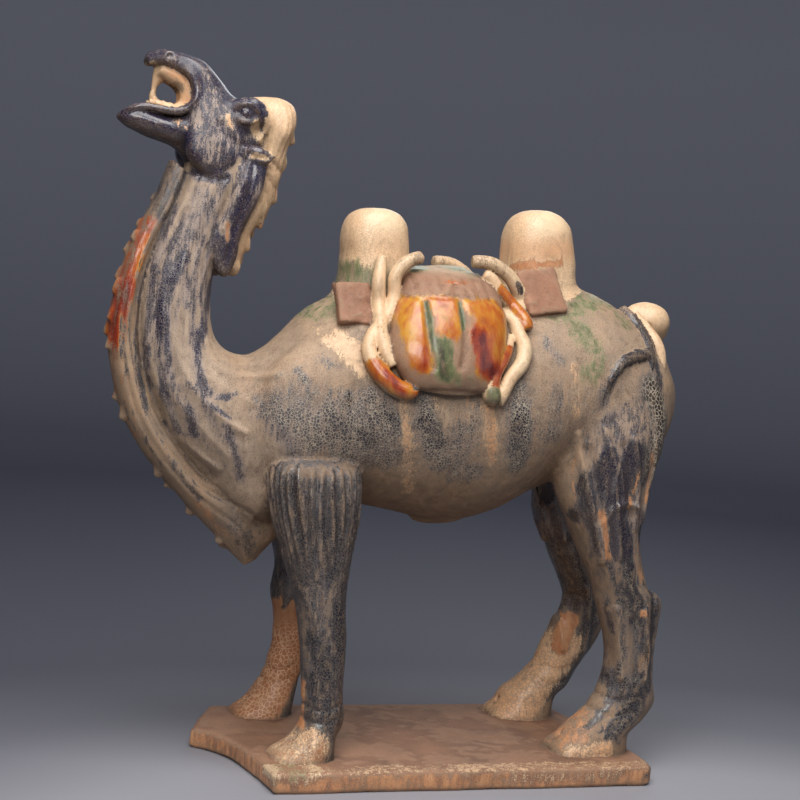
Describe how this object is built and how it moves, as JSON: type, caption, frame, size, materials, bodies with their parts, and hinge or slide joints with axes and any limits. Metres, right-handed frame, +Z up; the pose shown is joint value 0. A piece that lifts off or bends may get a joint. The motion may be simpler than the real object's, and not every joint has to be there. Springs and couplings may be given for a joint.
{
  "type": "sancai camel figure",
  "caption": "Glazed earthenware Bactrian camel calling with raised head, a pack and ropes over its back, standing on a flat slab.",
  "frame": {"origin": "on the slab's underside, which rests on the shelf, below the middle of the belly", "axes": "+Z up, the head points along -X, the near side of the picture is -Y"},
  "size_m": [0.463, 0.2, 0.52],
  "materials": {
    "sancai_glaze": "worn lead glaze in cobalt blue, amber, cream and green, crackled, over bare buff clay"
  },
  "bodies": {
    "root": {"camel_figure": "sancai_glaze"}
  },
  "joints": []
}
